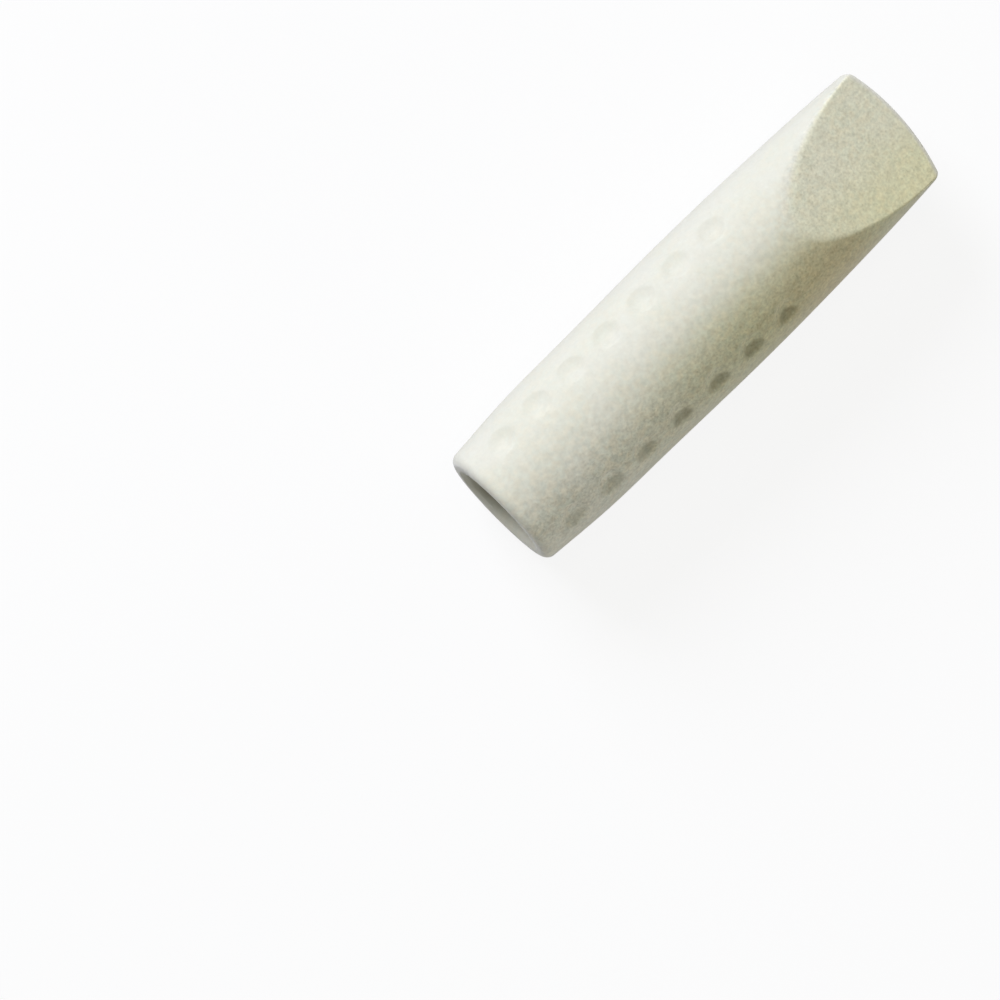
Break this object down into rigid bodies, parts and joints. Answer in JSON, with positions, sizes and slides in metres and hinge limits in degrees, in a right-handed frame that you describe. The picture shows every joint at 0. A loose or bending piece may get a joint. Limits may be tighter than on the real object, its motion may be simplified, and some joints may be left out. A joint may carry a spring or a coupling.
{
  "type": "pencil eraser topper",
  "caption": "Push-on eraser topper for a pencil: a swelling rubber sleeve with a round blind socket, rows of grip dimples and a two-sided chisel tip with a domed end.",
  "frame": {"origin": "centre of the socket's mouth, on the socket's axis and in the plane of the mouth", "axes": "+X along the axis from the mouth to the chisel tip, +Z square to one chisel facet's width so that this facet faces up, +Y across the tip"},
  "size_m": [0.041, 0.0114, 0.0114],
  "materials": {
    "eraser_rubber": "matte, fine-grained pale grey-beige eraser rubber"
  },
  "bodies": {
    "root": {"eraser_topper": "eraser_rubber"}
  },
  "joints": []
}
